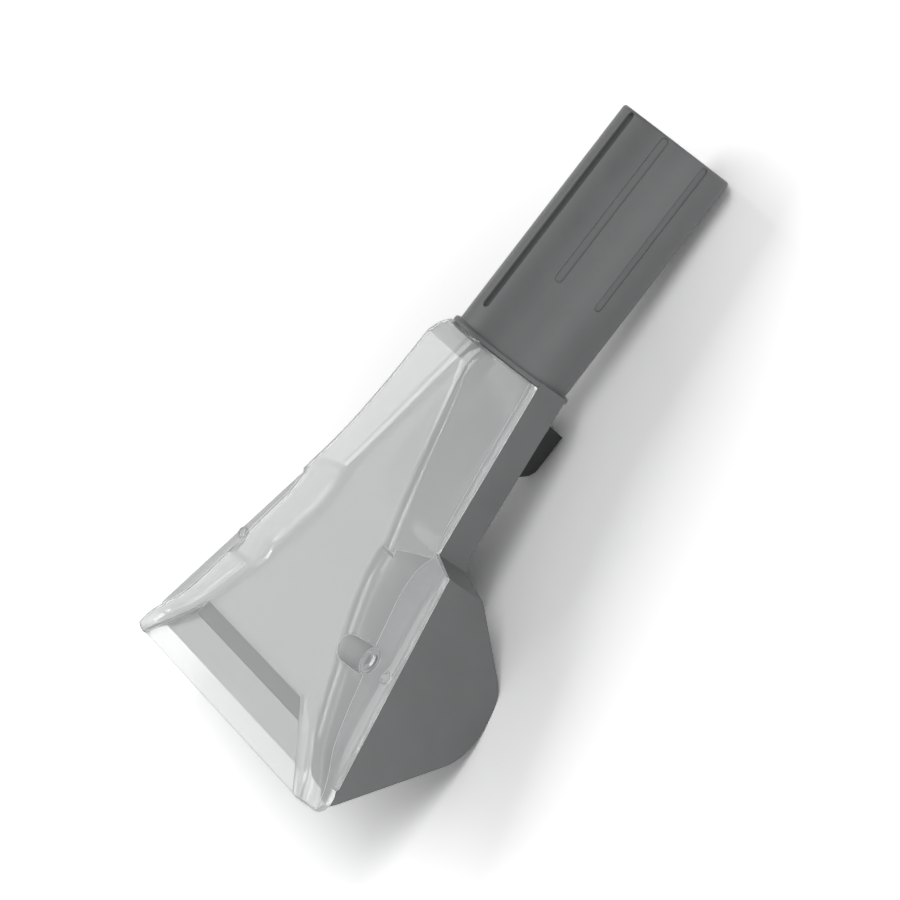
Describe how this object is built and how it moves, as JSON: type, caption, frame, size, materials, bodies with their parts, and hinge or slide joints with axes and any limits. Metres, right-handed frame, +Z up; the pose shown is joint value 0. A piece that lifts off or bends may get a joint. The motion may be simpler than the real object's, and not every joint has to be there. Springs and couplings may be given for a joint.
{
  "type": "vacuum upholstery nozzle",
  "caption": "Hand nozzle for spray-extraction vacuum cleaners: grey housing with tube socket and open hood, clear duct cover, black spray coupling and a jet inside the hood.",
  "frame": {"origin": "middle of the tube's open end", "axes": "+X across the nozzle along its lip, +Y towards the hose in the horizontal, +Z up; the nozzle lies on its back, its tube axis pointing down by about 5.5 degrees towards the hose"},
  "size_m": [0.1354, 0.2235, 0.0516],
  "materials": {
    "grey_plastic": "satin moulded",
    "clear_plastic": "clear moulded plastic",
    "black_plastic": "satin moulded",
    "black_tube": "extruded",
    "holder_brass": "turned",
    "seal_rubber": "matte",
    "jet_steel": "turned",
    "nut_brass": "milled"
  },
  "bodies": {
    "root": {"housing": "grey_plastic", "duct_cover": "clear_plastic", "spray_coupling": "black_plastic", "spray_pipe": "black_tube", "jet_holder": "holder_brass", "jet_washer": "seal_rubber", "spray_jet": "jet_steel", "jet_nut": "nut_brass"}
  },
  "joints": []
}
